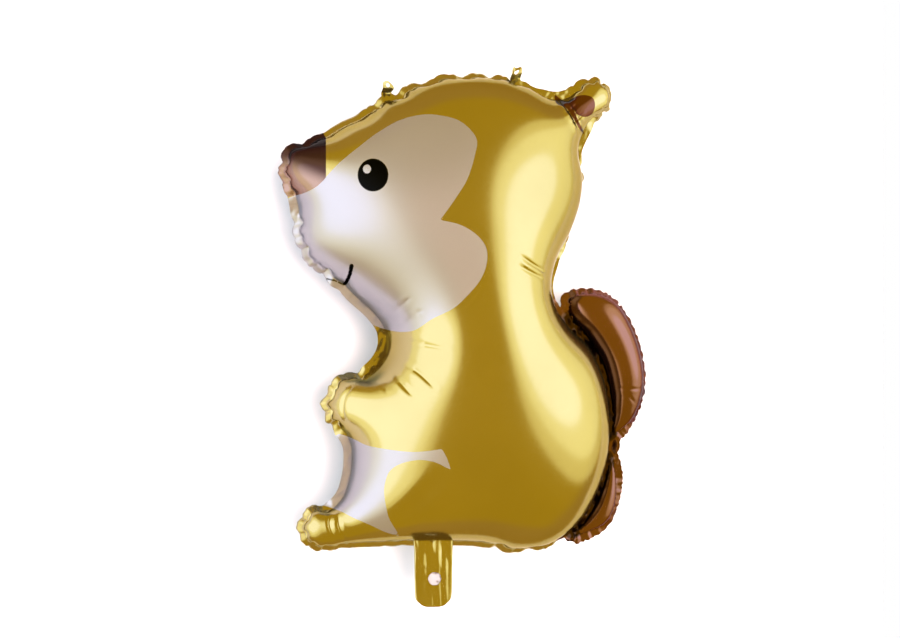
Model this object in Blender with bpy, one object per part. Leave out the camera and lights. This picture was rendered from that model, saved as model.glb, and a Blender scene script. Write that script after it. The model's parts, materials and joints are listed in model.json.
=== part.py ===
"""Squirrel foil balloon, inflated, lying on its back sheet.

The squirrel's head points along +Y, its face looks along -X and the printed front sheet faces +Z.
Two foil sheets are welded along a seam. The envelope is inflated inside the seam and is a thin
flat margin outside it. The origin is the middle of the bounding box, on the surface it lies on.
"""
import math

import bmesh
import bpy
import numpy as np
from mathutils import Vector
from mathutils.geometry import delaunay_2d_cdt

for old in list(bpy.data.objects):
    bpy.data.objects.remove(old, do_unlink=True)

# Sizes in metres
BODY_HEIGHT = 0.490        # seat to crown between the seams, the scale of every free outline below
MARGIN_WIDTH = 0.0085      # welded margin outside the seam
MARGIN_THICKNESS = 0.0012  # both sheets of the margin together, as a solid
REST_FLAT = 0.0030         # how far the resting bulges are pressed flat

TAB_WIDTH = 0.0100         # two hanging tabs on the crown
TAB_LENGTH = 0.0140        # beyond the margin
TAB_HOLE = 0.0040

NECK_WIDTH = 0.0415        # flat filling neck below the seat
NECK_LENGTH = 0.0690       # from the seam to its end
NECK_THICKNESS = 0.0056
NECK_START = 0.0030        # from the seam to where the neck thickens
NECK_CORNER = 0.0115       # radius of its lower corners
NECK_EDGE = 0.0026         # sloping weld along each side of the neck
NECK_WALL = 0.0016
NECK_HOLE = 0.0135         # round hole in the front of the neck
NECK_HOLE_UP = 0.0300      # its centre above the end of the neck
MOUTH_WIDTH = 0.0300
MOUTH_DEPTH = 0.0530

SLEEVE_WIDTH = 0.0260      # film valve inside the neck
SLEEVE_INSET = 0.0030      # its end above the end of the neck
FIT_GAP = 0.0003           # clearance between the sleeve and the foil

FULLNESS = 0.92            # height of a bulge over that of a long tube of the same width
SEAM_STEP = 0.0080         # spacing of the mesh along the seam
RING_INSETS = (0.0028, 0.0100)
SHEET_STEP = 0.0098        # spacing of the mesh inside the bulges
RING_GAP = 0.0025          # closest two points of the rings may lie
SHEET_GAP = 0.0070         # closest a point inside may lie to another
CORNER_GAP = 0.0012        # closest a corner of the outline may lie to the point before it
CORNER_TURN = 20.0         # degrees that make a bend of the outline a corner
CURVE_POINTS = 24          # points worked out between two knots of a curve

# The free outlines are shares of the body height, in percent, x towards the tail and y up


def arc(centre, radius, start, end, count=4):
    """Points on an arc, angles in degrees."""
    angles = [math.radians(start + (end - start) * i / (count - 1)) for i in range(count)]
    return [(centre[0] + radius * math.cos(a), centre[1] + radius * math.sin(a)) for a in angles]


FOOT = [(-13.8, 2.6), (-24.4, 2.5)] + arc((-30.0, 5.2), 3.3, 258, 112) + [(-28.2, 8.7), (-25.7, 11.1)]
BELLY = [(-24.3, 14.9), (-23.8, 19.2), (-24.2, 22.2)]
PAW = arc((-22.9, 29.8), 5.4, 232, 108, 5)
THROAT = [(-20.9, 36.0), (-18.3, 38.3), (-16.8, 41.4), (-17.0, 45.1), (-19.4, 48.5), (-22.9, 51.6)]
JAW = [(-26.6, 54.8), (-30.4, 58.2), (-33.3, 61.6), (-34.3, 65.5), (-35.0, 70.5)]
NOSE = [(-36.3, 73.8), (-37.1, 77.4), (-36.6, 80.0), (-33.9, 81.5)]
BROW = [(-28.8, 83.2), (-25.0, 85.4), (-21.6, 87.0), (-18.2, 90.0)]
CROWN = [(-13.4, 92.3), (-7.4, 94.8), (-0.6, 95.9), (6.2, 95.9), (12.3, 94.7), (17.4, 92.6)]
EAR = [(21.2, 92.6)] + arc((27.9, 93.1), 2.9, 122, -25) + [(26.9, 88.4), (24.7, 84.9)]
NAPE = [(23.5, 81.6), (24.2, 77.4), (23.6, 71.4), (21.1, 64.3), (18.1, 58.0), (17.2, 53.6)]
BACK = [(18.1, 50.0), (21.0, 46.0), (25.3, 41.5), (28.1, 36.1), (29.6, 30.0), (29.9, 23.6)]
RUMP = [(29.4, 18.4), (27.7, 12.6), (24.9, 7.2), (20.6, 3.0)]
SEAT = [(15.4, 0.7), (9.3, 0.6), (3.2, 2.1)]
BODY_SEAM = FOOT + BELLY + PAW + THROAT + JAW + NOSE + BROW + CROWN + EAR + NAPE + BACK + RUMP + SEAT

TAIL_UPPER_SEAM = [
    (22.4, 51.0), (26.8, 52.0), (31.3, 50.7), (35.0, 46.1), (37.4, 39.8), (38.1, 33.6),
    (36.7, 28.2), (34.0, 24.2), (31.9, 22.9), (31.9, 27.2), (31.3, 32.6), (29.6, 38.2),
    (26.2, 43.6), (22.6, 47.8),
]
TAIL_LOWER_SEAM = [
    (31.5, 18.6), (32.6, 15.0), (32.3, 9.8), (30.2, 5.1), (25.8, 2.7), (21.9, 2.2),
    (25.4, 4.9), (28.4, 9.2), (30.4, 14.2),
]
TAB_PLACES = [-16.5, 11.3]     # where the tabs stand along the crown
NECK_PLACE = -6.7              # middle of the neck
WAIST_PLACE = 50.0             # height that parts the head's bulge from the belly's


def percent(shares):
    return np.array(shares, float) * BODY_HEIGHT / 100.0


def smooth_loop(knots, step):
    """A closed curve through the knots, as points an even step apart."""
    knots = np.array(knots, float)
    count = len(knots)
    fine = []
    for i in range(count):
        four = [knots[(i + j - 1) % count] for j in range(4)]
        times = [0.0]
        for j in range(3):
            times.append(times[-1] + math.sqrt(np.linalg.norm(four[j + 1] - four[j])))
        for u in np.linspace(times[1], times[2], CURVE_POINTS, endpoint=False):
            pair = [blend(four[j], four[j + 1], times[j], times[j + 1], u) for j in range(3)]
            mid = [blend(pair[j], pair[j + 1], times[j], times[j + 2], u) for j in range(2)]
            fine.append(blend(mid[0], mid[1], times[1], times[2], u))
    return even_steps(np.array(fine), step)


def blend(a, b, time_a, time_b, u):
    return a * (time_b - u) / (time_b - time_a) + b * (u - time_a) / (time_b - time_a)


def even_steps(loop, step):
    """The closed loop again, with its points an even step apart."""
    ring = np.vstack([loop, loop[:1]])
    along = np.concatenate([[0.0], np.cumsum(np.linalg.norm(np.diff(ring, axis=0), axis=1))])
    count = max(8, round(along[-1] / step))
    places = np.linspace(0.0, along[-1], count, endpoint=False)
    return np.stack([np.interp(places, along, ring[:, k]) for k in range(2)], axis=1)


def outward_normals(loop):
    """Unit normals of a clockwise loop, pointing out of it."""
    run = np.roll(loop, -1, axis=0) - np.roll(loop, 1, axis=0)
    normals = np.stack([-run[:, 1], run[:, 0]], axis=1)
    return normals / np.linalg.norm(normals, axis=1)[:, None]


def distance_to_loop(points, loop):
    """Distance of each point to the nearest stretch of the closed loop."""
    start = loop[None, :, :]
    run = (np.roll(loop, -1, axis=0) - loop)[None, :, :]
    offset = points[:, None, :] - start
    share = np.clip((offset * run).sum(2) / (run * run).sum(2), 0.0, 1.0)
    return np.linalg.norm(offset - share[:, :, None] * run, axis=2).min(axis=1)


def is_inside(points, loop):
    """Whether each point lies inside the closed loop."""
    x, y = points[:, 0][:, None], points[:, 1][:, None]
    x0, y0 = loop[:, 0][None], loop[:, 1][None]
    x1, y1 = np.roll(loop[:, 0], -1)[None], np.roll(loop[:, 1], -1)[None]
    crosses = (y0 > y) != (y1 > y)
    at = x0 + (y - y0) * (x1 - x0) / np.where(y1 == y0, 1e-12, y1 - y0)
    return (crosses & (x < at)).sum(axis=1) % 2 == 1


def parallel_loop(loop, distance):
    """The loop moved out by a distance, without the points that would cross over."""
    moved = loop + outward_normals(loop) * distance
    nearly_all = 0.97 * abs(distance)
    return moved[distance_to_loop(moved, loop) > nearly_all]


def crossings_at(loop, x):
    """Heights at which the closed loop crosses a line of one x."""
    start, end = loop, np.roll(loop, -1, axis=0)
    crosses = (start[:, 0] > x) != (end[:, 0] > x)
    start, end = start[crosses], end[crosses]
    return start[:, 1] + (x - start[:, 0]) * (end[:, 1] - start[:, 1]) / (end[:, 0] - start[:, 0])


def union_outline(loops):
    """The outer edge of several overlapping loops."""
    points = [Vector(p) for loop in loops for p in loop]
    faces, first = [], 0
    for loop in loops:
        faces.append(list(range(first, first + len(loop)))[::-1])
        first += len(loop)
    corners, _, tiles, _, _, _ = delaunay_2d_cdt(points, [], faces, 1, 1e-7)
    sides = {}
    for tile in tiles:
        for a, b in zip(tile, tile[1:] + tile[:1]):
            sides[(a, b)] = True
    follow = {a: b for a, b in sides if (b, a) not in sides}
    chains = []
    while follow:
        a, b = follow.popitem()
        chain = [a]
        while b != chain[0]:
            chain.append(b)
            b = follow.pop(b)
        chains.append(np.array([corners[i][:] for i in chain]))
    return max(chains, key=lambda chain: np.ptp(chain[:, 1]))


def tab_loop(margin, place):
    """A hanging tab with a round end, standing on the crown's margin, and its hole's centre."""
    x = float(percent(place))
    y = crossings_at(margin, x).max()
    radius = TAB_WIDTH / 2.0
    end = y + TAB_LENGTH - radius
    turns = np.linspace(math.pi, 0.0, 9)
    half_circle = [(x + radius * math.cos(a), end + radius * math.sin(a)) for a in turns]
    foot = y - MARGIN_WIDTH
    return np.array([(x - radius, foot)] + half_circle + [(x + radius, foot)]), (x, end)


def neck_loop(seam, inset):
    """The outline of the neck with round lower corners, drawn in by an inset, and its end's middle."""
    x = float(percent(NECK_PLACE))
    seam_y = crossings_at(seam, x).min()
    top = seam_y - NECK_START
    end = seam_y - NECK_LENGTH
    half = NECK_WIDTH / 2.0
    right = [(x + half - NECK_CORNER * (1 - math.cos(a)), end + NECK_CORNER * (1 - math.sin(a)))
             for a in np.linspace(0.0, math.pi / 2, 5)]
    left = [(2 * x - px, py) for px, py in reversed(right)]
    loop = np.array([(x - half, top), (x + half, top)] + right + left)
    centre = np.array([x, (top + end) / 2.0])
    size = np.array([half, (top - end) / 2.0])
    return centre + (loop - centre) * (1.0 - inset / size), (x, end)


class Sheet:
    """The flat layout of the envelope: its outline, its seams and a mesh across them."""

    def __init__(self):
        self.body = smooth_loop(percent(BODY_SEAM), SEAM_STEP)
        self.tails = [smooth_loop(percent(knots), SEAM_STEP) for knots in (TAIL_UPPER_SEAM, TAIL_LOWER_SEAM)]
        self.chambers = [self.body] + self.tails
        margins = [parallel_loop(loop, MARGIN_WIDTH) for loop in self.chambers]
        tabs = [tab_loop(margins[0], place) for place in TAB_PLACES]
        self.tab_holes = [hole for _, hole in tabs]
        neck, self.neck_end = neck_loop(self.body, 0.0)
        self.neck_flat, _ = neck_loop(self.body, NECK_EDGE)
        self.outline = union_outline(margins + [loop for loop, _ in tabs] + [neck])
        self.mesh()

    def mesh(self):
        """Joins the outline, the seams and evenly spread points into triangles."""
        loops = [thin_out(self.outline)] + self.chambers + [self.neck_flat]
        points = [p for loop in loops for p in loop]
        edges, first = [], 0
        for loop in loops:
            edges += [(first + i, first + (i + 1) % len(loop)) for i in range(len(loop))]
            first += len(loop)
        face = [list(range(len(loops[0])))]
        for loop in self.chambers:
            for inset in RING_INSETS:
                ring = even_steps(loop, SEAM_STEP if inset < RING_INSETS[-1] else SHEET_STEP)
                ring = parallel_loop(ring, -inset)
                points = add_spread(points, ring[is_inside(ring, loop)], RING_GAP)
            inside = hexagon_grid(loop, SHEET_STEP)
            inside = inside[is_inside(inside, loop)]
            inside = inside[distance_to_loop(inside, loop) > RING_INSETS[-1]]
            points = add_spread(points, inside, SHEET_GAP)
        found = delaunay_2d_cdt([Vector(p) for p in points], edges, face, 1, 1e-7)
        self.points = np.array([p[:] for p in found[0]])
        self.tiles = [tuple(t) for t in found[2]]


def thin_out(loop):
    """The loop without points that crowd each other, keeping its corners."""
    kept = [loop[0]]
    for i in range(1, len(loop)):
        before, after = kept[-1], loop[(i + 1) % len(loop)]
        turn = math.atan2(*(after - loop[i])) - math.atan2(*(loop[i] - before))
        is_corner = abs(math.remainder(turn, 2 * math.pi)) > math.radians(CORNER_TURN)
        if np.linalg.norm(loop[i] - before) > (CORNER_GAP if is_corner else SHEET_GAP * 0.8):
            kept.append(loop[i])
    if np.linalg.norm(kept[-1] - kept[0]) < CORNER_GAP:
        kept.pop()
    return np.array(kept)


def add_spread(points, extra, gap):
    """Adds those of the extra points that keep a gap to all the others."""
    kept = list(points)
    for p in extra:
        if np.linalg.norm(np.array(kept) - p, axis=1).min() > gap:
            kept.append(p)
    return kept


def hexagon_grid(loop, step):
    low, high = loop.min(axis=0), loop.max(axis=0)
    rows = np.arange(low[1], high[1], step * math.sqrt(0.75))
    grid = []
    for i, y in enumerate(rows):
        shift = step / 2.0 if i % 2 else 0.0
        grid += [(x, y) for x in np.arange(low[0] + shift, high[0], step)]
    return np.array(grid)


def bulge_heights(sheet):
    """Height of the inflated sheet over the seam plane at each point of the mesh.

    A membrane under even pressure solves a Poisson equation. The square root of its solution is
    the circle of a long tube, and a little lower over a round bulge.
    """
    points = sheet.points
    tiles = np.array(sheet.tiles)
    middles = points[tiles].mean(axis=1)
    in_chamber = np.zeros(len(tiles), bool)
    for loop in sheet.chambers:
        in_chamber |= is_inside(middles, loop)
    fixed = np.ones(len(points), bool)
    fixed[tiles[in_chamber].ravel()] = False
    fixed[tiles[~in_chamber].ravel()] = True
    stiffness = np.zeros((len(points), len(points)))
    load = np.zeros(len(points))
    for tile in tiles[in_chamber]:
        corner = points[tile]
        across = np.array([corner[(k + 2) % 3] - corner[(k + 1) % 3] for k in range(3)])
        area = abs(across[0][0] * across[1][1] - across[0][1] * across[1][0]) / 2.0
        stiffness[np.ix_(tile, tile)] += across @ across.T / (4.0 * area)
        load[tile] += area / 3.0
    free = np.flatnonzero(~fixed)
    rise = np.zeros(len(points))
    rise[free] = np.linalg.solve(stiffness[np.ix_(free, free)], load[free])
    heights = FULLNESS * np.sqrt(2.0 * np.maximum(rise, 0.0))
    touching = 0.00001
    flat_neck = is_inside(points, sheet.neck_flat) | (distance_to_loop(points, sheet.neck_flat) < touching)
    neck_rise = (NECK_THICKNESS - MARGIN_THICKNESS) / 2.0
    return np.where(flat_neck, np.maximum(heights, neck_rise), heights)


def material(name, colour, roughness, metallic):
    made = bpy.data.materials.new(name)
    made.use_nodes = True
    shader = made.node_tree.nodes["Principled BSDF"]
    shader.inputs["Base Color"].default_value = (*colour, 1.0)
    shader.inputs["Roughness"].default_value = roughness
    shader.inputs["Metallic"].default_value = metallic
    return made


def add_object(name, mesh, made_of, location):
    piece = bpy.data.objects.new(name, mesh)
    mesh.materials.append(made_of)
    piece.location = location
    bpy.context.collection.objects.link(piece)
    return piece


def closed_sheets(sheet, heights):
    """Front and back sheets over the layout, joined by a rim around the margin."""
    half = MARGIN_THICKNESS / 2.0
    flat_level = resting_level(sheet, heights)
    shape = bmesh.new()
    front = [shape.verts.new((x, y, half + h)) for (x, y), h in zip(sheet.points, heights)]
    back = [shape.verts.new((x, y, -min(half + h, flat_level))) for (x, y), h in zip(sheet.points, heights)]
    sides = set()
    for tile in sheet.tiles:
        shape.faces.new([front[i] for i in tile])
        shape.faces.new([back[i] for i in reversed(tile)])
        sides.update(zip(tile, tile[1:] + tile[:1]))
    for a, b in sides:
        if (b, a) not in sides:
            shape.faces.new([front[b], front[a], back[a], back[b]])
    bmesh.ops.triangulate(shape, faces=[face for face in shape.faces if len(face.verts) > 3])
    mesh = bpy.data.meshes.new("foil_envelope")
    shape.to_mesh(mesh)
    shape.free()
    return mesh, flat_level


def resting_level(sheet, heights):
    """Depth of the plane that both the head and the belly rest on."""
    in_head = sheet.points[:, 1] > percent(WAIST_PLACE)
    lower_bulge = min(heights[in_head].max(), heights[~in_head].max())
    return lower_bulge + MARGIN_THICKNESS / 2.0 - REST_FLAT


def cutter(name, mesh, location):
    tool = bpy.data.objects.new(name, mesh)
    tool.location = location
    tool.hide_render = True
    tool.display_type = "WIRE"
    bpy.context.collection.objects.link(tool)
    return tool


def box_mesh(name, size):
    shape = bmesh.new()
    bmesh.ops.create_cube(shape, size=1.0)
    bmesh.ops.scale(shape, vec=size, verts=shape.verts)
    mesh = bpy.data.meshes.new(name)
    shape.to_mesh(mesh)
    shape.free()
    return mesh


def rod_mesh(name, diameter, length, sides=20):
    shape = bmesh.new()
    bmesh.ops.create_cone(
        shape, cap_ends=True, segments=sides, radius1=diameter / 2, radius2=diameter / 2, depth=length)
    mesh = bpy.data.meshes.new(name)
    shape.to_mesh(mesh)
    shape.free()
    return mesh


def cut(piece, tool):
    change = piece.modifiers.new(tool.name, "BOOLEAN")
    change.operation = "DIFFERENCE"
    change.solver = "EXACT"
    change.object = tool


def build():
    sheet = Sheet()
    heights = bulge_heights(sheet)
    mesh, flat_level = closed_sheets(sheet, heights)
    low, high = sheet.outline.min(axis=0), sheet.outline.max(axis=0)
    origin = Vector((-(low[0] + high[0]) / 2.0, -(low[1] + high[1]) / 2.0, flat_level))
    foil = material("gold_foil", (0.78, 0.60, 0.10), 0.24, 1.0)
    film = material("valve_film", (0.85, 0.85, 0.82), 0.35, 0.0)
    envelope = add_object("foil_envelope", mesh, foil, origin)

    slot_height = NECK_THICKNESS - 2.0 * NECK_WALL
    end = Vector((*sheet.neck_end, 0.0)) + origin
    mouth = box_mesh("mouth_cutter", (MOUTH_WIDTH, 2.0 * MOUTH_DEPTH, slot_height))
    cut(envelope, cutter("mouth_cutter", mouth, end))
    hole = rod_mesh("neck_hole_cutter", NECK_HOLE, NECK_THICKNESS)
    hole_place = end + Vector((0.0, NECK_HOLE_UP, NECK_THICKNESS / 2.0))
    cut(envelope, cutter("neck_hole_cutter", hole, hole_place))
    for number, (x, y) in enumerate(sheet.tab_holes, start=1):
        name = f"tab_hole_cutter_{number}"
        hole = rod_mesh(name, TAB_HOLE, 2.0 * MARGIN_THICKNESS)
        cut(envelope, cutter(name, hole, Vector((x, y, 0.0)) + origin))

    sleeve_length = MOUTH_DEPTH - SLEEVE_INSET - FIT_GAP
    sleeve = box_mesh("valve_sleeve", (SLEEVE_WIDTH, sleeve_length, slot_height - 2.0 * FIT_GAP))
    add_object("valve_sleeve", sleeve, film, end + Vector((0.0, SLEEVE_INSET + sleeve_length / 2.0, 0.0)))


build()
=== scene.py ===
"""Looks of the squirrel foil balloon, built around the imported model.

The balloon lies on its back sheet. Its front sheet faces +Z and its head points along +Y.
"""

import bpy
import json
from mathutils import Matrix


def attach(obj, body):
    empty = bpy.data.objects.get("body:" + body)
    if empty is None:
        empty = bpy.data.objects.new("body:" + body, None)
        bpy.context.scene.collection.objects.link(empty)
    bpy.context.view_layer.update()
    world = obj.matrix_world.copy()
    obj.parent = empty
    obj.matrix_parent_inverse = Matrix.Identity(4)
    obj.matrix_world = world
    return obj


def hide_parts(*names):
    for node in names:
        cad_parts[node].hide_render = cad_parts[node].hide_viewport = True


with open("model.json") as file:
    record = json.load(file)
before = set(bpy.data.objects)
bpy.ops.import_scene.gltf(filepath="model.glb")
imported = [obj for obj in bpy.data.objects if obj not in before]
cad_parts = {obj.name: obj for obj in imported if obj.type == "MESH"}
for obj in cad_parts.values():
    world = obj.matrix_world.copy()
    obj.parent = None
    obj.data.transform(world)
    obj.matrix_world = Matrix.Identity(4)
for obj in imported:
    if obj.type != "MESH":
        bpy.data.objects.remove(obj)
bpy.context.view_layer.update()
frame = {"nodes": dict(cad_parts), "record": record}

import json
import math

import bpy
import numpy as np
from mathutils import Matrix, Vector
from mathutils.geometry import delaunay_2d_cdt
from mathutils.kdtree import KDTree

# The photograph's view: 900 by 638 pixels, one pixel to the millimetre at the seam
PHOTO_WIDTH, PHOTO_HEIGHT = 900, 638
PIXEL = 0.001
CAMERA_DISTANCE = 2.5
CAMERA_YAW = math.radians(16.0)
LENS_WIDTH = 36.0
AIM_FROM_LOW_EDGE = 0.2867     # the aim above the end of the neck
AIM_FROM_MIDDLE = -0.0182

# Meshes, in metres and radians
BODY_SEAM_STEP, TAIL_SEAM_STEP = 0.0022, 0.0014
BODY_RINGS, BODY_RING_ANGLE = 20, 0.55
TAIL_RINGS, TAIL_RING_ANGLE = 8, 0.75
BODY_STEP, TAIL_STEP, FLANGE_STEP = 0.0028, 0.0019, 0.0016
FINE_CREASE = 0.0040           # creases narrower than this get a finer mesh
TOUCH = 0.00003
SHARP_ANGLE = math.radians(55.0)

# The envelope, in metres
FOIL_THICKNESS = 0.0005
MARGIN_WIDTH = 0.0085
TAB_WIDTH, TAB_LENGTH, TAB_HOLE = 0.0100, 0.0140, 0.0040
FULLNESS = 0.92                # its height over that of an even membrane
CAD_RING_INSET = 0.0028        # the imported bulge's first ring, where its roundness is read
LEAST_RISE = 0.002
ROUNDNESS_SPREAD = 0.006       # the seam's roundness is evened out over this length
BEND_SPREAD = 0.013            # and so is its bend
WEB_WIDTH = 1.9 * MARGIN_WIDTH
WEB_CRUMPLE, WEB_DEPTH = 0.0035, 0.0040
FLANGE_CRUMPLE = 0.0014
FLANGE_GROWTH = 0.5            # how much more the flange's outer edge moves than its seam

# Puckers across the seam: large ones, and small ones between them
PULL_IN = 0.57                 # how far a seam is drawn in, over the roundness of its bulge
MOST_SPARE = 0.32              # the most spare foil, over the seam's length
PUCKER_SHORTEST = 0.0085
PUCKER_OF_ROUNDNESS = 0.32     # a pucker's further length, over the roundness
TAIL_PITCH = 0.60              # the tail's puckers, over the body's
DEEPEST_FOLD = 0.0062
FOLD_DEPTH = 0.46              # over the pucker's length, for one of the next length
FOLD_SCALE = 0.012
LEAST_FOLDS = 0.35             # strength where the seam is nearly straight
STRAIGHT_BEND = (-1.5, 1.5)    # which is between these bends, in radians for each metre
SEAM_FOLD = 0.6                # the part of a fold that moves the seam itself
SWAY = 0.11
FOLD_REACH = 0.85
LARGE_DEPTH = 1.1
SMALL_PITCH, SMALL_DEPTH, SMALL_SWAY = 0.42, 0.5, 0.6
CALM = 0.75                    # how much weaker the folds are on the back of the body
CALM_X, CALM_Y = (0.08, 0.10), (0.03, 0.06)

# How far the flange leans back from the seam's plane
LEAN = 0.85                    # where it leans most, in radians
LEAN_OF_SPARE = 2.6            # share of that for the share of spare foil
LEAN_BELOW = (-0.205, -0.193)  # along the low edge
LEAN_BROW_X, LEAN_BROW_END_X = (-0.168, -0.152), (-0.106, -0.092)    # along the nose's back
LEAN_BROW_Y = (0.16, 0.18)
TAIL_LEAN = 0.9
TAIL_LEAN_GAP = (0.018, 0.030) # its distance from the body's seam
TAB_LEAN = 0.25
TAB_LEAN_REACH = (0.012, 0.022)

# Creases in the foil, in pixels of the photograph: line, depth and half-width in metres
CREASES = [
    ([(398, 342), (420, 344), (446, 349)], 0.0016, 0.0020),
    ([(402, 363), (418, 372), (434, 387)], 0.0016, 0.0020),
    ([(393, 370), (402, 384), (413, 396)], 0.0015, 0.0019),
    ([(384, 383), (385, 392)], 0.0006, 0.0013),
    ([(409, 298), (390, 315)], 0.0010, 0.0017),
    ([(421, 310), (401, 325)], 0.0010, 0.0017),
    ([(416, 317), (400, 329)], 0.0009, 0.0016),
    ([(521, 256), (532, 264), (545, 272)], 0.0014, 0.0019),
    ([(519, 266), (530, 272), (543, 279)], 0.0012, 0.0018),
    ([(351, 386), (344, 397), (342, 410), (345, 424), (346, 436)], 0.0010, 0.0012),
    ([(331, 511), (329, 523), (333, 544)], 0.0012, 0.0016),
    ([(337, 511), (339, 527), (345, 545)], 0.0012, 0.0016),
    ([(441, 477), (420, 500), (396, 522)], 0.0010, 0.0075),
    ([(510, 480), (540, 510), (560, 527)], 0.0008, 0.0080),
    ([(554, 93), (562, 103), (570, 112), (576, 123), (580, 134)], 0.0030, 0.0024),
    ([(557, 104), (566, 100), (574, 97)], 0.0018, 0.0016),
    ([(565, 113), (573, 108), (580, 101)], 0.0016, 0.0015),
    ([(571, 124), (579, 118), (585, 112)], 0.0014, 0.0014),
    ([(616, 388), (632, 389), (646, 388)], 0.0005, 0.0014),
    ([(623, 391), (635, 404)], 0.0004, 0.0014),
]

# Print, with painted shade in the ear-base creases and a painted highlight on the nose, in pixels of the
# photograph
EDGE = 0.35                    # softness of the print's edges
EYE, EYE_SIZE = (373.0, 175.0), (15.3, 16.4)
GLINT, GLINT_SIZE = (367.0, 169.0), (4.05, 4.4)
MOUTH = [(351.5, 266.0), (349.5, 275.0), (344.0, 284.0), (336.0, 281.0), (327.0, 278.5)]
MOUTH_ALONG = [0.0, 0.1, 0.45, 0.55, 1.0]
MOUTH_HALF = [2.1, 2.0, 1.8, 0.8, 0.7]
FINE_SPOTS = [(EYE, 0.024, 0.0012), ((342, 276), 0.020, 0.0010)]    # place, reach and mesh step in metres
FAR_OUTSIDE = -50.0
MASK_PARTS = [
    [(326, 177), (338, 164), (356, 149), (377, 133), (400, 120), (423, 114.5), (438, 115), (458, 120),
     (470, 129), (477, 140), (475, 155), (467, 180), (458, 195), (449, 208), (440.5, 219.5)],
    [(441, 220), (461, 225), (477, 235), (486, 247), (487, 262), (481, 279), (469, 294), (454, 308),
     (432, 319), (415, 330), (402, 332), (388, 330), (372, 325)],
    [(330, 330), (260, 260), (268, 210), (294, 196), (304, 193), (316, 187), (325, 178)],
]
BELLY_PARTS = [
    [(347, 436), (356, 440), (366, 445), (385, 449), (412, 452), (428, 451), (441, 449)],
    [(442, 449), (447, 458), (451, 470)],
    [(450, 470), (443, 466), (434, 462), (420, 460), (406, 462), (396, 466), (389, 472), (385, 483),
     (384, 492), (386, 506), (389, 518), (396, 530), (399, 535)],
    [(398, 536), (385, 532), (370, 525), (354, 518), (340, 511), (325, 506)],
    [(310, 500), (320, 450), (340, 434)],
]
NOSE_PARTS = [
    [(326, 130), (326, 177)],
    [(325, 179), (316, 187), (304, 193), (294, 196)],
    [(270, 200), (265, 150), (290, 130)],
]
# The printed inner-ear spot, drawn on along the ear-base creases, where its brown stands in as painted
# shade
EAR_SPOT_AND_CREASE_SHADE = [
    (575, 97), (584, 95), (593, 98), (595, 106), (592, 114), (585, 117), (577, 114), (574, 110), (579, 122),
    (585, 135), (580, 130), (573, 118), (566, 108), (556, 103), (555, 95), (562, 100), (568, 101),
]
# Painted highlight on the nose: below this tilted line, between these two values, its brown turns to a rose
# highlight
NOSE_HIGHLIGHT_TILT, NOSE_HIGHLIGHT_BLEND = 0.42, (33.0, 51.0)

# Colours and gloss
GOLD, GOLD_DEEP = (0.285, 0.245, 0.115, 1.0), (0.265, 0.225, 0.100, 1.0)
COPPER, COPPER_DEEP = (0.145, 0.067, 0.052, 1.0), (0.112, 0.050, 0.038, 1.0)
# Painted shade: the web's brown print, darkened to near black where shade falls between the body and the
# tail
WEB_BROWN_AND_SHADE = (0.030, 0.012, 0.006, 1.0)
CREAM, CREAM_DEEP = (0.245, 0.240, 0.268, 1.0), (0.235, 0.230, 0.258, 1.0)
# The nose's own brown print, and the rose of a painted highlight on its lower part
NOSE_ROSE_HIGHLIGHT, NOSE_BROWN = (0.19, 0.128, 0.110, 1.0), (0.034, 0.017, 0.015, 1.0)
# Brown of the printed ear spot, also used as painted shade in the ear-base creases
SPOT_BROWN_AND_CREASE_SHADE = (0.085, 0.030, 0.018, 1.0)
INK = (0.0025, 0.0025, 0.0030, 1.0)
GLINT_WHITE = (0.28, 0.29, 0.40, 1.0)
FLOOR_TONES = [(0.53, 0.53, 0.55, 1.0), (0.55, 0.55, 0.57, 1.0)]
# The valve film's pale tone, and a brown tone painted into it as shade
FILM_TONE_AND_SHADE = [(0.24, 0.24, 0.26, 1.0), (0.07, 0.05, 0.035, 1.0)]
FOIL_METAL, CREAM_METAL, NOSE_METAL = 0.985, 0.80, 0.85
FOIL_ROUGH, CREAM_ROUGH, INK_ROUGH = 0.17, 0.30, 0.22
PRINT_COAT = 0.22
EDGE_TINT = 1.8                # keeps the metal from turning white where it is seen edge on

# Neck and valve film, in metres
NECK_X, NECK_LOW, NECK_TALL = -0.0354, -0.2723, 0.0730
NECK_PLACES = [0.0, 0.03, 0.09, 0.2, 0.8, 0.93, 1.0]    # from its end, 0, to the seam, 1
NECK_HALVES = [0.0150, 0.0172, 0.0188, 0.0193, 0.0200, 0.0207, 0.0240]    # half its width there
NECK_HALF_THICKNESS = 0.0016
NECK_CRUMPLE = 0.0016
NECK_KNOTS = (0.30, 0.65)      # the knots grow over this share of the neck's length
HOLE_CENTRE, HOLE_RADIUS = np.array([-0.0345, -0.2440]), 0.0067
FILM_HALF_WIDTH, FILM_TALL, FILM_UP = 0.0125, 0.0520, 0.004
FILM_CRUMPLE = 0.0012

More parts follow.
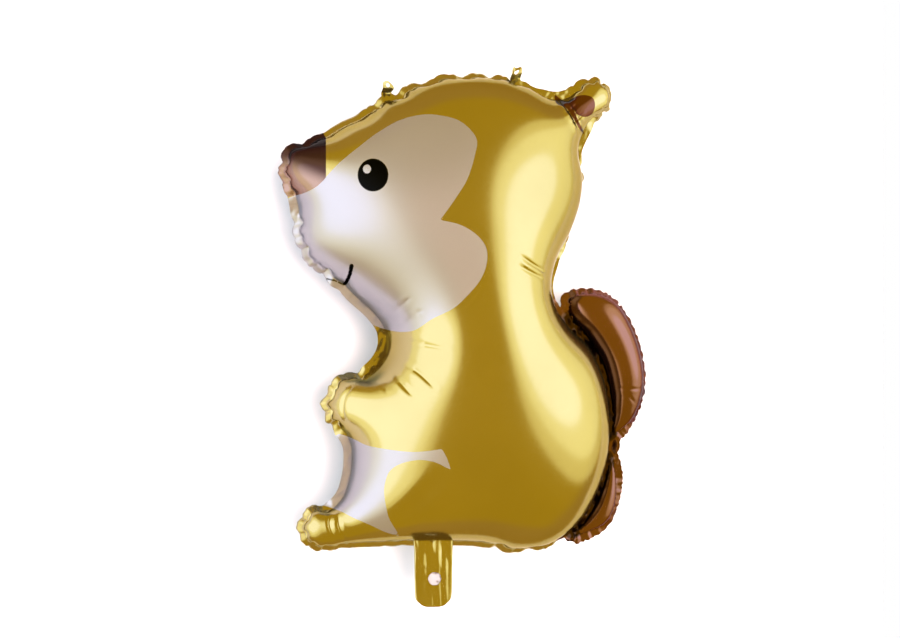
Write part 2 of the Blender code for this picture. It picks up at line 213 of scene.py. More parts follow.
# Light: round panels in layers, each with two angles from +Z towards +X, two along Y, radiance and tone
LIGHT_DISTANCE = 3.2
LAYER_GAP = 0.04               # each layer is nearer by this much, so that the layers add up
WARM, MILD, COOL = (0.82, 0.91, 0.62), (0.77, 0.94, 0.98), (0.63, 0.86, 2.1)
LEFT_LAYERS = [
    ((-116.0, -27.0), (-48.0, 52.0), 1.4, WARM),
    ((-108.0, -30.0), (-37.0, 44.0), 0.90, MILD),
    ((-92.0, -36.0), (-25.0, 34.0), 1.0, COOL),
]
RIGHT_LAYERS = [
    ((25.5, 112.0), (-29.0, 47.0), 1.4, WARM),
    ((28.5, 104.0), (-18.0, 39.0), 0.90, MILD),
    ((37.0, 80.0), (-7.0, 26.0), 1.0, COOL),
]
LEFT_TURN, RIGHT_TURN = 28.0, -15.0
FLOOR_X, FLOOR_Y = (-0.54, 0.50), (-0.36, 0.39)
FLOOR_LIGHT_SIZE, FLOOR_LIGHT_HEIGHT = (1.7, 1.4), 1.5
FLOOR_LIGHT_POWER, FLOOR_LIGHT_SPREAD = 20.0, math.radians(40.0)
FLOOR_LIGHT_TONE = (1.0, 0.74, 0.66)
PALE_TONE = (1.0, 1.0, 1.0, 1.0)
WORLD_TONE, HORIZON_TONE = (1.18, 0.76, 0.0, 1.0), (1.05, 0.65, 0.10, 1.0)
HORIZON_BAND = (-0.12, 0.02)

rng = np.random.default_rng(7)


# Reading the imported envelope

def merged_mesh(node):
    """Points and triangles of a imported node, with equal points joined."""
    mesh = frame["nodes"][node].data
    corners = np.array([v.co[:] for v in mesh.vertices])
    points, index = np.unique(np.round(corners * 1e5).astype(int), axis=0, return_inverse=True)
    tiles = index.ravel()[np.array([face.vertices[:] for face in mesh.polygons])]
    a, b, c = tiles.T
    return points / 1e5, tiles[(a != b) & (b != c) & (c != a)]


def sides_of(tile):
    return zip(tile, tile[1:] + tile[:1])


def open_sides(tiles):
    """Sides of triangles that no other triangle shares."""
    sides = {(a, b) for tile in tiles for a, b in sides_of(tile)}
    return [(a, b) for a, b in sides if (b, a) not in sides]


def upward(points, tiles):
    """How far each triangle faces up, as its area's double along +Z."""
    corners = points[tiles]
    return np.cross(corners[:, 1] - corners[:, 0], corners[:, 2] - corners[:, 0])[:, 2]


CAD_POINTS, CAD_TILES = merged_mesh("foil_envelope")
CAD_UPWARD = upward(CAD_POINTS, CAD_TILES)
MOUNTS = {mount["name"]: mount["pos_m"] for mount in frame["record"]["mounts"]}


def flat_levels():
    """Heights of the top and the underside of the flat margin."""
    corners = CAD_POINTS[CAD_TILES]
    is_flat = np.ptp(corners[:, :, 2], axis=1) < TOUCH
    levels = []
    for up in (True, False):
        chosen = corners[is_flat & ((CAD_UPWARD > 0) == up)][:, 0, 2]
        chosen = chosen[chosen > TOUCH]
        heights, counts = np.unique(np.round(chosen, 5), return_counts=True)
        levels.append(heights[counts.argmax()])
    return levels


MARGIN_TOP, MARGIN_BOTTOM = flat_levels()
SEAM_LEVEL = (MARGIN_TOP + MARGIN_BOTTOM) / 2.0


def seam_loops():
    """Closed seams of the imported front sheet, longest first, each running counterclockwise."""
    height = CAD_POINTS[:, 2] - MARGIN_TOP
    on_margin = abs(height) < TOUCH
    rising = [tuple(t) for t in CAD_TILES[(CAD_UPWARD > 0) & (height[CAD_TILES].max(axis=1) > TOUCH)]]
    beside = {}
    for number, tile in enumerate(rising):
        for a, b in sides_of(tile):
            beside[(a, b)] = number
    loops, seen = [], set()
    for first in range(len(rising)):
        if first in seen:
            continue
        seen.add(first)
        waiting, edge = [first], {}
        while waiting:
            tile = rising[waiting.pop()]
            for a, b in sides_of(tile):
                if on_margin[a] and on_margin[b]:
                    edge[a] = b
                    continue
                other = beside.get((b, a))
                if other is not None and other not in seen:
                    seen.add(other)
                    waiting.append(other)
        loops += closed_chains(edge)
    return sorted(loops, key=len, reverse=True)


def closed_chains(edge):
    chains = []
    while edge:
        start, here = edge.popitem()
        chain = [start]
        while here in edge:
            chain.append(here)
            here = edge.pop(here)
        if here == start:
            chains.append(CAD_POINTS[chain][:, :2])
    return chains


# Plane curves

def blend(a, b, time_a, time_b, u):
    return a * (time_b - u) / (time_b - time_a) + b * (u - time_a) / (time_b - time_a)


def curve_through(knots, closed=True, pieces=12):
    """A smooth curve through the knots."""
    knots = np.array(knots, float)
    count = len(knots)
    fine = []
    for i in range(count if closed else count - 1):
        picks = [(i + j - 1) % count if closed else min(max(i + j - 1, 0), count - 1) for j in range(4)]
        four = [knots[k] for k in picks]
        if picks[0] == picks[1]:
            four[0] = 2 * four[1] - four[2]
        if picks[3] == picks[2]:
            four[3] = 2 * four[2] - four[1]
        times = [0.0]
        for j in range(3):
            times.append(times[-1] + max(np.linalg.norm(four[j + 1] - four[j]), 1e-9) ** 0.5)
        for u in np.linspace(times[1], times[2], pieces, endpoint=False):
            pair = [blend(four[j], four[j + 1], times[j], times[j + 1], u) for j in range(3)]
            mid = [blend(pair[j], pair[j + 1], times[j], times[j + 2], u) for j in range(2)]
            fine.append(blend(mid[0], mid[1], times[1], times[2], u))
    if not closed:
        fine.append(knots[-1])
    return np.array(fine)


def even_steps(loop, step):
    ring = np.vstack([loop, loop[:1]])
    along = np.concatenate([[0.0], np.cumsum(np.linalg.norm(np.diff(ring, axis=0), axis=1))])
    count = max(12, round(along[-1] / step))
    places = np.linspace(0.0, along[-1], count, endpoint=False)
    return np.stack([np.interp(places, along, ring[:, k]) for k in range(2)], axis=1)


def smooth_around(values, width):
    """Values round a closed loop, blurred by a width in loop steps."""
    turns = np.fft.fftfreq(len(values))
    fade = np.exp(-0.5 * (2.0 * math.pi * turns * width) ** 2)
    if np.ndim(values) == 2:
        return np.stack([smooth_around(column, width) for column in np.transpose(values)], axis=1)
    return np.real(np.fft.ifft(np.fft.fft(values) * fade))


def outward_normals(loop):
    """Unit normals of a counterclockwise loop, pointing out of it."""
    run = np.roll(loop, -1, axis=0) - np.roll(loop, 1, axis=0)
    normals = np.stack([run[:, 1], -run[:, 0]], axis=1)
    return normals / np.linalg.norm(normals, axis=1)[:, None]


def search_tree(points):
    tree = KDTree(len(points))
    for i, (x, y) in enumerate(points):
        tree.insert((x, y, 0.0), i)
    tree.balance()
    return tree


def closest_on_line(points, line, closed=True):
    """Distance of each point to a line, and where along the line it is met, in line steps."""
    count = len(line)
    tree = search_tree(line)
    nearest = np.array([tree.find((x, y, 0.0))[1] for x, y in points.tolist()], int)
    best = np.full(len(points), 1e9)
    places = np.zeros(len(points))
    for back in (1, 0):
        first = nearest - back
        if closed:
            first = first % count
        else:
            first = np.clip(first, 0, count - 2)
        start = line[first]
        run = line[(first + 1) % count] - start
        offset = points - start
        share = np.clip((offset * run).sum(axis=1) / np.maximum((run * run).sum(axis=1), 1e-18), 0.0, 1.0)
        gap = np.linalg.norm(offset - share[:, None] * run, axis=1)
        better = gap < best
        best[better] = gap[better]
        places[better] = (first + share)[better]
    return best, places


def is_inside(points, loop):
    x0, y0 = loop.T
    x1, y1 = np.roll(loop, -1, axis=0).T
    inside = np.zeros(len(points), bool)
    near = np.where(((points > loop.min(axis=0)) & (points < loop.max(axis=0))).all(axis=1))[0]
    for some in np.array_split(near, max(1, len(near) // 4000)):
        x, y = points[some, :1], points[some, 1:]
        crosses = (y0 > y) != (y1 > y)
        at = x0 + (y - y0) * (x1 - x0) / np.where(y1 == y0, 1e-12, y1 - y0)
        inside[some] = (crosses & (x < at)).sum(axis=1) % 2 == 1
    return inside


def hexagon_grid(loop, step):
    low, high = loop.min(axis=0), loop.max(axis=0)
    rows = np.arange(low[1], high[1], step * math.sqrt(0.75))
    grid = []
    for i, y in enumerate(rows):
        across = np.arange(low[0] + (step / 2.0 if i % 2 else 0.0), high[0], step)
        grid.append(np.stack([across, np.full(len(across), y)], axis=1))
    return np.concatenate(grid)


def keep_apart(points, others, gap):
    """Those of the points that keep a gap to all the others."""
    if not len(others):
        return points
    tree = search_tree(others)
    return points[[tree.find((x, y, 0.0))[2] > gap for x, y in points.tolist()]]


def triangulate(points, edges, face):
    """Triangles over the face, and the new number of each point given."""
    found, _, tiles, given, _, _ = delaunay_2d_cdt([Vector(p) for p in points], edges, [face], 1, 1e-8)
    number = np.full(len(points), -1)
    for new, olds in enumerate(given):
        number[olds] = new
    return np.array([p[:] for p in found]), [tuple(t) for t in tiles], number


# The photograph's camera, also used to place the print

def camera_frame():
    low = CAD_POINTS.min(axis=0)
    aim = np.array([AIM_FROM_MIDDLE, low[1] + AIM_FROM_LOW_EDGE, SEAM_LEVEL])
    back = np.array([-math.sin(CAMERA_YAW), 0.0, math.cos(CAMERA_YAW)])
    right = np.array([math.cos(CAMERA_YAW), 0.0, math.sin(CAMERA_YAW)])
    return aim, right, np.array([0.0, 1.0, 0.0]), back


AIM, RIGHT, UP, BACK = camera_frame()


def photo_pixels(points):
    """Where the photograph shows points of the balloon."""
    offset = points - AIM
    scale = CAMERA_DISTANCE / (CAMERA_DISTANCE - offset @ BACK) / PIXEL
    across, down = offset @ RIGHT * scale, -(offset @ UP) * scale
    return np.stack([PHOTO_WIDTH / 2 + across, PHOTO_HEIGHT / 2 + down], axis=1)


def plane_points(pixels):
    """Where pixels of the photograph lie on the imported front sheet, seen along Z."""
    eye = AIM + BACK * CAMERA_DISTANCE
    cad = frame["nodes"]["foil_envelope"]
    places = []
    for px, py in pixels:
        across = (px - PHOTO_WIDTH / 2) * PIXEL * RIGHT + (PHOTO_HEIGHT / 2 - py) * PIXEL * UP
        direction = AIM + across - eye
        hit, place, _, _ = cad.ray_cast(Vector(eye), Vector(direction).normalized())
        places.append(place[:2] if hit else (eye + direction)[:2])
    return np.array(places)


# Puckers and bulges

class Chamber:
    """One inflated part: its seam, its puckers and the mesh of its bulge."""

    def __init__(self, knots, seam_step, rings, angle, step, pitch=1.0, beside=None):
        self.seam = even_steps(curve_through(knots), seam_step)
        self.seam_step = seam_step
        self.normals = outward_normals(smooth_around(self.seam, 1.0))
        self.rings, self.angle, self.step = rings, angle, step
        self.pitch, self.beside = pitch, beside
        self.roundness = self.read_roundness()
        self.packed_seam = self.seam
        self.measure_puckers()
        self.seam = self.packed_seam + self.normals * (MARGIN_WIDTH * (1.0 - np.cos(self.lean)))[:, None]
        self.normals = outward_normals(smooth_around(self.seam, 1.0))

    def read_roundness(self):
        """Radius of the bulge's section at the seam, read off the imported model."""
        cad = frame["nodes"]["foil_envelope"]
        radii = []
        for place in self.seam - self.normals * CAD_RING_INSET:
            hit, spot, _, _ = cad.ray_cast(Vector((*place, 1.0)), Vector((0.0, 0.0, -1.0)))
            rise = max(spot[2] - MARGIN_TOP, LEAST_RISE) if hit else LEAST_RISE
            radii.append((rise ** 2 + CAD_RING_INSET ** 2) / (2.0 * CAD_RING_INSET))
        beside = round(ROUNDNESS_SPREAD / self.seam_step)
        widest = np.max([np.roll(radii, k) for k in range(-beside, beside + 1)], axis=0)
        return smooth_around(widest, ROUNDNESS_SPREAD / self.seam_step)

    def measure_puckers(self):
        """Folds across the seam where its outer edge has too much foil."""
        run = np.roll(self.seam, -1, axis=0) - self.seam
        heading = np.unwrap(np.arctan2(run[:, 1], run[:, 0]))
        turn = np.angle(np.exp(1j * (np.roll(heading, -1) - heading)))
        bend = smooth_around(turn / self.seam_step, BEND_SPREAD / self.seam_step)
        spare = np.clip(PULL_IN * bend * self.roundness, 0.0, MOST_SPARE)
        self.spare = np.clip(smooth_around(spare, 3.0), 0.0, MOST_SPARE)
        length = self.pitch * (PUCKER_SHORTEST + PUCKER_OF_ROUNDNESS * self.roundness)
        strength = np.sqrt(self.spare / MOST_SPARE)
        strength = np.maximum(strength, LEAST_FOLDS * smooth_step(*STRAIGHT_BEND, bend))
        self.fold_depth, self.sway = self.folds(length, strength)
        small_depth, small_sway = self.folds(length * SMALL_PITCH, strength)
        self.fold_depth = self.fold_depth * LARGE_DEPTH + small_depth * SMALL_DEPTH
        if self.beside is None:
            calm = smooth_step(*CALM_X, self.seam[:, 0]) * smooth_step(*CALM_Y[::-1], self.seam[:, 1])
            self.fold_depth = self.fold_depth * (1.0 - CALM * calm)
        self.fold_depth = np.minimum(self.fold_depth, DEEPEST_FOLD)
        self.sway += small_sway * SMALL_SWAY
        self.fold_reach = FOLD_REACH * length
        self.lean = self.measure_lean()

    def measure_lean(self):
        """Turn of the flange out of the seam's plane, in radians."""
        low_edge = smooth_step(*LEAN_BELOW[::-1], self.seam[:, 1])
        leaning = np.maximum(LEAN_OF_SPARE * self.spare / MOST_SPARE, low_edge)
        brow = smooth_step(*LEAN_BROW_X, self.seam[:, 0]) - smooth_step(*LEAN_BROW_END_X, self.seam[:, 0])
        leaning = np.maximum(leaning, brow * smooth_step(*LEAN_BROW_Y, self.seam[:, 1]))
        if self.beside is not None:
            gap, _ = closest_on_line(self.seam, self.beside.packed_seam)
            leaning = np.maximum(leaning, TAIL_LEAN) * smooth_step(*TAIL_LEAN_GAP, gap)
        for tab in ("brow_tab", "crown_tab"):
            aside = np.linalg.norm(self.seam - np.array(MOUNTS[tab][:2]), axis=1)
            leaning = leaning * (TAB_LEAN + (1.0 - TAB_LEAN) * smooth_step(*TAB_LEAN_REACH, aside))
        return smooth_around(LEAN * np.clip(leaning, 0.0, 1.0), 3.0)

    def folds(self, length, strength):
        """Depths of the folds and the sideways sway of the pillows between them, round the seam."""
        depth, sway = np.zeros(len(self.seam)), np.zeros(len(self.seam))
        at, side = 0.0, 1.0
        while at < len(self.seam) - 1:
            width = length[int(at)] / self.seam_step * rng.uniform(0.6, 1.4)
            end = min(at + width, len(self.seam))
            if len(self.seam) - end < 0.5 * width:
                end = len(self.seam)
            inside = np.arange(math.ceil(at), math.ceil(end))
            share = (inside - at) / (end - at)
            size = length[inside] * strength[inside] * rng.uniform(0.6, 1.3)
            size = size * np.sqrt(FOLD_SCALE / length[inside])
            depth[inside] = FOLD_DEPTH * size * (1.0 - np.abs(np.sin(math.pi * share)) ** 0.65)
            sway[inside] = side * SWAY * size * np.sin(math.pi * share)
            side = -side
            at = end
        return depth, sway

    def at(self, values, places):
        """Values round the seam at places between its points."""
        low = np.floor(places).astype(int) % len(self.seam)
        share = places - np.floor(places)
        return values[low] * (1.0 - share) + values[(low + 1) % len(self.seam)] * share

    def inward(self, places):
        return -np.stack([self.at(self.normals[:, k], places) for k in range(2)], axis=1)

    def mesh(self):
        """Plane points of the bulge inside the seam: rings close to it, and a grid within them."""
        turns = self.angle * np.arange(self.rings + 1) / self.rings
        insets = (1.0 - np.cos(turns))[:, None] * self.roundness[None]
        rings = self.seam[None] - self.normals[None] * insets[:, :, None]
        inner = rings[-1]
        extra = detail_points(inner)
        grid = hexagon_grid(inner, self.step)
        grid = keep_apart(grid, extra, self.step * 0.62)
        grid = np.vstack([grid, extra]) if len(extra) else grid
        grid = grid[is_inside(grid, inner)]
        grid = grid[closest_on_line(grid, inner)[0] > self.step * 0.5]
        count = len(inner)
        edges = [(i, (i + 1) % count) for i in range(count)]
        points, tiles, number = triangulate(np.vstack([inner, grid]), edges, list(range(count)))
        outer = rings[:-1].reshape(-1, 2)
        new = np.empty(len(points), int)
        new[number[:count]] = self.rings * count + np.arange(count)
        rest = np.setdiff1d(np.arange(len(points)), number[:count])
        new[rest] = (self.rings + 1) * count + np.arange(len(rest))
        places = np.vstack([outer, inner, points[rest]])
        faces = [tuple(new[i] for i in tile) for tile in tiles]
        for j in range(self.rings):
            for i in range(count):
                k = (i + 1) % count
                a, b = j * count + i, j * count + k
                faces.append((a, b, b + count, a + count))
        return places, faces

    def heights(self, places, faces):
        """Rise of the inflated sheet: the square root of a membrane's sag under even pressure."""
        tiles = np.array([t for face in faces for t in as_triangles(face)])
        sag = solve_membrane(places, tiles, len(self.seam))
        return np.sqrt(2.0 * np.maximum(sag, 0.0))


def as_triangles(face):
    return [face] if len(face) == 3 else [face[:3], (face[0], face[2], face[3])]


def solve_membrane(points, tiles, fixed, rounds=1600, done=1e-7):
    """Solves for the sag of a membrane whose first points are held, by conjugate gradients."""
    corner = points[tiles]
    across = np.stack([corner[:, (k + 2) % 3] - corner[:, (k + 1) % 3] for k in range(3)], axis=1)
    area = abs(across[:, 0, 0] * across[:, 1, 1] - across[:, 0, 1] * across[:, 1, 0]) / 2.0
    area = np.maximum(area, 1e-12)
    rows, columns, weights = [], [], []
    for i in range(3):
        for j in range(3):
            rows.append(tiles[:, i])
            columns.append(tiles[:, j])
            weights.append((across[:, i] * across[:, j]).sum(axis=1) / (4.0 * area))
    rows, columns, weights = (np.concatenate(part) for part in (rows, columns, weights))
    count = len(points)
    load = np.bincount(tiles.ravel(), np.repeat(area / 3.0, 3), count)
    free = np.arange(count) >= fixed
    diagonal = np.bincount(rows[rows == columns], weights[rows == columns], count)
    inner = (rows != columns) & free[rows] & free[columns]
    key = rows[inner] * count + columns[inner]
    pairs, place = np.unique(key, return_inverse=True)
    weight = np.bincount(place, weights[inner])
    row, column = pairs // count, pairs % count
    sag = np.zeros(count)
    left = np.where(free, load, 0.0)
    goal = np.linalg.norm(left) * done
    step = left / diagonal
    moved = left @ step
    for _ in range(rounds):
        pushed = diagonal * step + np.bincount(row, weight * step[column], count)
        share = moved / (step @ pushed)
        sag += share * step
        left -= share * pushed
        if np.linalg.norm(left) < goal:
            break
        eased = left / diagonal
        again = left @ eased
        step = eased + again / moved * step
        moved = again
    return sag


CREASE_LINES = [
    (curve_through(plane_points(line), closed=False), depth, width)
    for line, depth, width in CREASES
]
DETAIL_SPOTS = [(plane_points([spot])[0], reach, step) for spot, reach, step in FINE_SPOTS]


def detail_points(loop):
    """Extra mesh points beside the fine creases and over the small print."""
    found = []
    for line, _, width in CREASE_LINES:
        if width > FINE_CREASE:
            continue
        run = np.gradient(line, axis=0)
        across = np.stack([-run[:, 1], run[:, 0]], axis=1) / np.linalg.norm(run, axis=1)[:, None]
        length = np.linalg.norm(np.diff(line, axis=0), axis=1).sum()
        picks = np.linspace(0, len(line) - 1, max(3, round(length / 0.0016)))
        for offset in (-2.8, -1.6, -0.75, 0.0, 0.75, 1.6, 2.8):
            row = line + across * offset * width
            columns = [np.interp(picks, np.arange(len(line)), row[:, k]) for k in range(2)]
            found.append(np.stack(columns, axis=1))
    for centre, reach, fine in DETAIL_SPOTS:
        square = np.array([centre + reach * np.array(c) for c in ((-1, -1), (1, -1), (1, 1), (-1, 1))])
        spot = hexagon_grid(square, fine)
        found.append(spot[np.linalg.norm(spot - centre, axis=1) < reach])
    points = np.concatenate(found)
    points = points[is_inside(points, loop)]
    kept = []
    for p in points:
        if not kept or np.linalg.norm(np.array(kept[-400:]) - p, axis=1).min() > 0.0006:
            kept.append(p)
    return np.array(kept).reshape(-1, 2)


# The flange: the flat welded foil round the seams

def union_outline(loops):
    """The outer edge of several overlapping loops."""
    points = np.vstack(loops)
    faces, first = [], 0
    for loop in loops:
        faces.append(list(range(first, first + len(loop)))[::-1])
        first += len(loop)
    corners, _, tiles, _, _, _ = delaunay_2d_cdt([Vector(p) for p in points], [], faces, 1, 1e-7)
    follow = dict(open_sides(tiles))
    chains = []
    while follow:
        a, b = follow.popitem()
        chain = [a]
        while b != chain[0]:
            chain.append(b)
            b = follow.pop(b)
        chains.append(np.array([corners[i][:] for i in chain]))
    return max(chains, key=lambda chain: np.ptp(chain[:, 1]))


def parallel_loop(loop, distance):
    moved = loop + outward_normals(smooth_around(loop, 1.0)) * distance
    return moved[closest_on_line(moved, loop)[0] > 0.97 * abs(distance)]


def tab_loops(margin):
    """Outlines of the hanging tabs, and their round holes."""
    tabs, holes = [], []
    for mount in ("brow_tab", "crown_tab"):
        x = MOUNTS[mount][0]
        beside = margin[abs(margin[:, 0] - x) < 0.004]
        y = beside[:, 1].max()
        end = y + TAB_LENGTH - TAB_WIDTH / 2.0
        turns = np.linspace(math.pi, 0.0, 13)
        top = [(x + TAB_WIDTH / 2.0 * math.cos(a), end + TAB_WIDTH / 2.0 * math.sin(a)) for a in turns]
        sides = [(x - TAB_WIDTH / 2.0, end + (y - 0.004 - end) * t) for t in (0.75, 0.5, 0.25)]
        other = [(2 * x - px, py) for px, py in reversed(sides)]
        foot = [(x - TAB_WIDTH / 2.0, y - 0.004), (x + TAB_WIDTH / 2.0, y - 0.004)]
        tabs.append(np.array([foot[0]] + sides + top + other + [foot[1]]))
        around = np.linspace(0.0, 2.0 * math.pi, 16, endpoint=False)
        ring = TAB_HOLE / 2.0 * np.stack([np.cos(around), np.sin(around)], axis=1)
        holes.append(ring + np.array([x, end]))
    return tabs, holes


def weave_in(points, tiles, holes):
    """Triangles whose middles lie in none of the holes."""
    middles = points[np.array(tiles)].mean(axis=1)
    keep = np.ones(len(tiles), bool)
    for hole in holes:
        keep &= ~is_inside(middles, hole)
    return [tile for tile, kept in zip(tiles, keep) if kept]


def lobe_bridge(chambers):
    """A round of foil that joins the tail's two lobes beside the body."""
    upper, lower = chambers[1].packed_seam, chambers[2].packed_seam
    centre = (upper[upper[:, 1].argmin()] + lower[lower[:, 1].argmax()]) / 2.0
    turns = np.linspace(0.0, 2.0 * math.pi, 24, endpoint=False)
    return centre + MARGIN_WIDTH * np.stack([np.cos(turns), 1.1 * np.sin(turns)], axis=1)


def flange_mesh(chambers):
    """Plane points and triangles of the flange; its first points are the seams, in order."""
    margins = [parallel_loop(c.packed_seam, MARGIN_WIDTH) for c in chambers]
    tabs, holes = tab_loops(margins[0])
    outline = even_steps(union_outline(margins + tabs + [lobe_bridge(chambers)]), FLANGE_STEP)
    loops = [c.seam for c in chambers] + [outline] + holes
    edges, first = [], 0
    for loop in loops:
        edges += [(first + i, first + (i + 1) % len(loop)) for i in range(len(loop))]
        first += len(loop)
    seams = sum(len(c.seam) for c in chambers)
    grid = hexagon_grid(outline, FLANGE_STEP)
    grid = grid[is_inside(grid, outline)]
    for loop in loops:
        gap, _ = closest_on_line(grid, loop)
        outside = ~is_inside(grid, loop) if loop is not outline else np.ones(len(grid), bool)
        grid = grid[outside & (gap > FLANGE_STEP * 0.45)]
    face = list(range(seams, seams + len(outline)))
    points, tiles, number = triangulate(np.vstack(loops + [grid]), edges, face)
    tiles = weave_in(points, tiles, [c.seam for c in chambers] + holes)
    order = np.concatenate([number[:seams], np.setdiff1d(np.arange(len(points)), number[:seams])])
    back = np.empty(len(points), int)
    back[order] = np.arange(len(points))
    return points[order], [tuple(back[i] for i in tile) for tile in tiles]


# Shaping

def smooth_step(low, high, value):
    share = np.clip((value - low) / (high - low), 0.0, 1.0)
    return share * share * (3.0 - 2.0 * share)


def crumples(points, size, seed, folds=6):
    """Sharp random folds between 0 and 1, as in foil that has been creased."""
    source = np.random.default_rng(seed)
    total = np.zeros(len(points))
    for _ in range(folds):
        turn = source.uniform(0.0, 2.0 * math.pi)
        length = size * source.uniform(0.6, 1.6)
        wave = points @ np.array([math.cos(turn), math.sin(turn)]) / length + source.uniform(0.0, 1.0)
        wave = wave + 0.35 * np.sin(points @ np.array([-math.sin(turn), math.cos(turn)]) / size * 2.1)
        total += np.abs(wave - np.round(wave)) * 2.0
    return total / folds


def seam_shift(chambers, points):
    """How the puckers move the seams and the flange beside them."""
    moved, weights = np.zeros((len(points), 3)), np.zeros(len(points))
    for chamber in chambers:
        gap, place = closest_on_line(points, chamber.seam)
        weight = 1.0 / (gap + 0.0004) ** 2
        grow = 1.0 + np.clip(gap / MARGIN_WIDTH, 0.0, 1.0) * FLANGE_GROWTH
        fold = chamber.at(chamber.fold_depth, place)
        drawn = chamber.inward(place) * (fold * SEAM_FOLD * grow)[:, None]
        sway, lean = chamber.at(chamber.sway, place), chamber.at(chamber.lean, place)
        shift = np.column_stack([drawn, sway * grow])
        shift[:, 2] -= np.tan(lean) * gap * smooth_step(1.6, 1.0, gap / MARGIN_WIDTH)
        moved += shift * weight[:, None]
        weights += weight
    return moved / weights[:, None]


def bulge_points(chamber, places, rise, side):
    """Points of a bulge: side 1 for the front sheet, and -1 for the back sheet."""
    gap, place = closest_on_line(places, chamber.seam)
    radius = chamber.at(chamber.roundness, place)
    arc = radius * np.arccos(np.clip(1.0 - gap / radius, 0.0, 1.0))
    reach = chamber.at(chamber.fold_reach, place)
    near = np.clip(1.0 - arc / reach, 0.0, 1.0)
    fold = chamber.at(chamber.fold_depth, place)
    sway = chamber.at(chamber.sway, place)
    seam_pull = fold * SEAM_FOLD
    middle_pull = fold * smooth_step(0.0, 0.16, arc / reach) * near ** 1.4
    pull = seam_pull * np.exp(-arc / (0.25 * reach)) + middle_pull
    slope = np.clip(arc / radius, 0.0, math.pi / 2)
    moved = np.column_stack([places, rise])
    moved[:, :2] += chamber.inward(place) * (pull * np.cos(slope))[:, None]
    moved[:, 2] -= pull * np.sin(slope)
    moved[:, 2] += side * sway * np.exp(-arc / (0.30 * reach))
    return moved


def add_creases(points, places):
    """Presses the creases into a sheet that faces +Z."""
    pressed = points.copy()
    for line, depth, width in CREASE_LINES:
        low, high = line.min(axis=0) - 5 * width, line.max(axis=0) + 5 * width
        near = np.where(((places > low) & (places < high)).all(axis=1))[0]
        if not len(near):
            continue
        gap, place = closest_on_line(places[near], line, closed=False)
        share = place / (len(line) - 1)
        taper = np.sin(math.pi * np.clip(share, 0.02, 0.98)) ** 0.6
        valley = np.exp(-(gap / width) ** 2) - 0.42 * np.exp(-((gap / width - 1.9) / 0.9) ** 2)
        pressed[near, 2] -= depth * taper * valley
    return pressed


# Print and painted shade, as distances in pixels of the photograph

def region(points, outline):
    """Distance to an outline, positive inside it."""
    gap, _ = closest_on_line(points, outline)
    return np.where(is_inside(points, outline), gap, -gap)


def print_distances(pixels):
    """Named distances to the edges of the printed areas; the ear spot's area also takes in painted shade in
    the ear-base creases.
    """
    mouth_gap, mouth_place = closest_on_line(pixels, MOUTH_LINE, closed=False)
    mouth_half = np.interp(mouth_place / (len(MOUTH_LINE) - 1), MOUTH_ALONG, MOUTH_HALF)
    return {
        "cream": np.maximum(region(pixels, MASK_EDGE), region(pixels, BELLY_EDGE)),
        "nose": region(pixels, NOSE_EDGE),
        "ear_spot": region(pixels, EAR_SPOT_AND_CREASE_SHADE_EDGE),
        "mouth": mouth_half - mouth_gap,
    }


MASK_EDGE, BELLY_EDGE, NOSE_EDGE = (
    np.vstack([curve_through(part, closed=False) for part in parts])
    for parts in (MASK_PARTS, BELLY_PARTS, NOSE_PARTS)
)
EAR_SPOT_AND_CREASE_SHADE_EDGE = curve_through(EAR_SPOT_AND_CREASE_SHADE)
MOUTH_LINE = curve_through(MOUTH, closed=False)


# Building the envelope

def join_envelope(chambers):
    """All points, faces, and which side and region each point is on."""
    flange_points, flange_tiles = flange_mesh(chambers)
    seam_count = sum(len(c.seam) for c in chambers)
    shift = seam_shift(chambers, flange_points)
    web = web_share(chambers, flange_points)
    shift[:, 2] += web * WEB_CRUMPLE * (crumples(flange_points, 0.012, 3) - 0.5)
    shift[:, 2] += FLANGE_CRUMPLE * (crumples(flange_points, 0.009, 5) - 0.5)
    points, faces = [], []
    starts = {}
    flat = np.column_stack([flange_points, np.zeros(len(flange_points))]) + shift
    for side in (1, -1):
        lifted = flat + np.array([0.0, 0.0, SEAM_LEVEL + side * FOIL_THICKNESS / 2.0])
        starts[side] = sum(len(p) for p in points)
        points.append(lifted)
        for tile in flange_tiles:
            tile = tile if side == 1 else tile[::-1]
            faces.append(tuple(starts[side] + i for i in tile))
    for a, b in open_sides(flange_tiles):
        if a >= seam_count or b >= seam_count:
            faces.append((starts[1] + b, starts[1] + a, starts[-1] + a, starts[-1] + b))
    first_seam = 0
    for chamber in chambers:
        places, tiles = chamber.mesh()
        rise = chamber.heights(places, tiles) * FULLNESS
        count = len(chamber.seam)
        for side in (1, -1):
            moved = bulge_points(chamber, places, rise, side)
            moved = add_creases(moved, places) if side == 1 else moved
            moved[:, 2] = SEAM_LEVEL + side * (moved[:, 2] + FOIL_THICKNESS / 2.0)
            start = sum(len(p) for p in points)
            points.append(moved[count:])
            seam = starts[side] + first_seam
            number = np.concatenate([seam + np.arange(count), start + np.arange(len(places) - count)])
            for tile in tiles:
                tile = tile if side == 1 else tile[::-1]
                faces.append(tuple(number[i] for i in tile))
        first_seam += count
    return np.vstack(points), faces


def web_share(chambers, points):
    """Nearly 1 in the narrow web between the body and the tail, and 0 elsewhere."""
    body_gap, _ = closest_on_line(points, chambers[0].seam)
    tail_gap = np.minimum(*[closest_on_line(points, c.seam)[0] for c in chambers[1:]])
    return smooth_step(WEB_WIDTH, 1.2 * MARGIN_WIDTH, body_gap + tail_gap)


def put_in_scene(name, data):
    made = bpy.data.objects.new(name, data)
    bpy.context.scene.collection.objects.link(made)
    return made


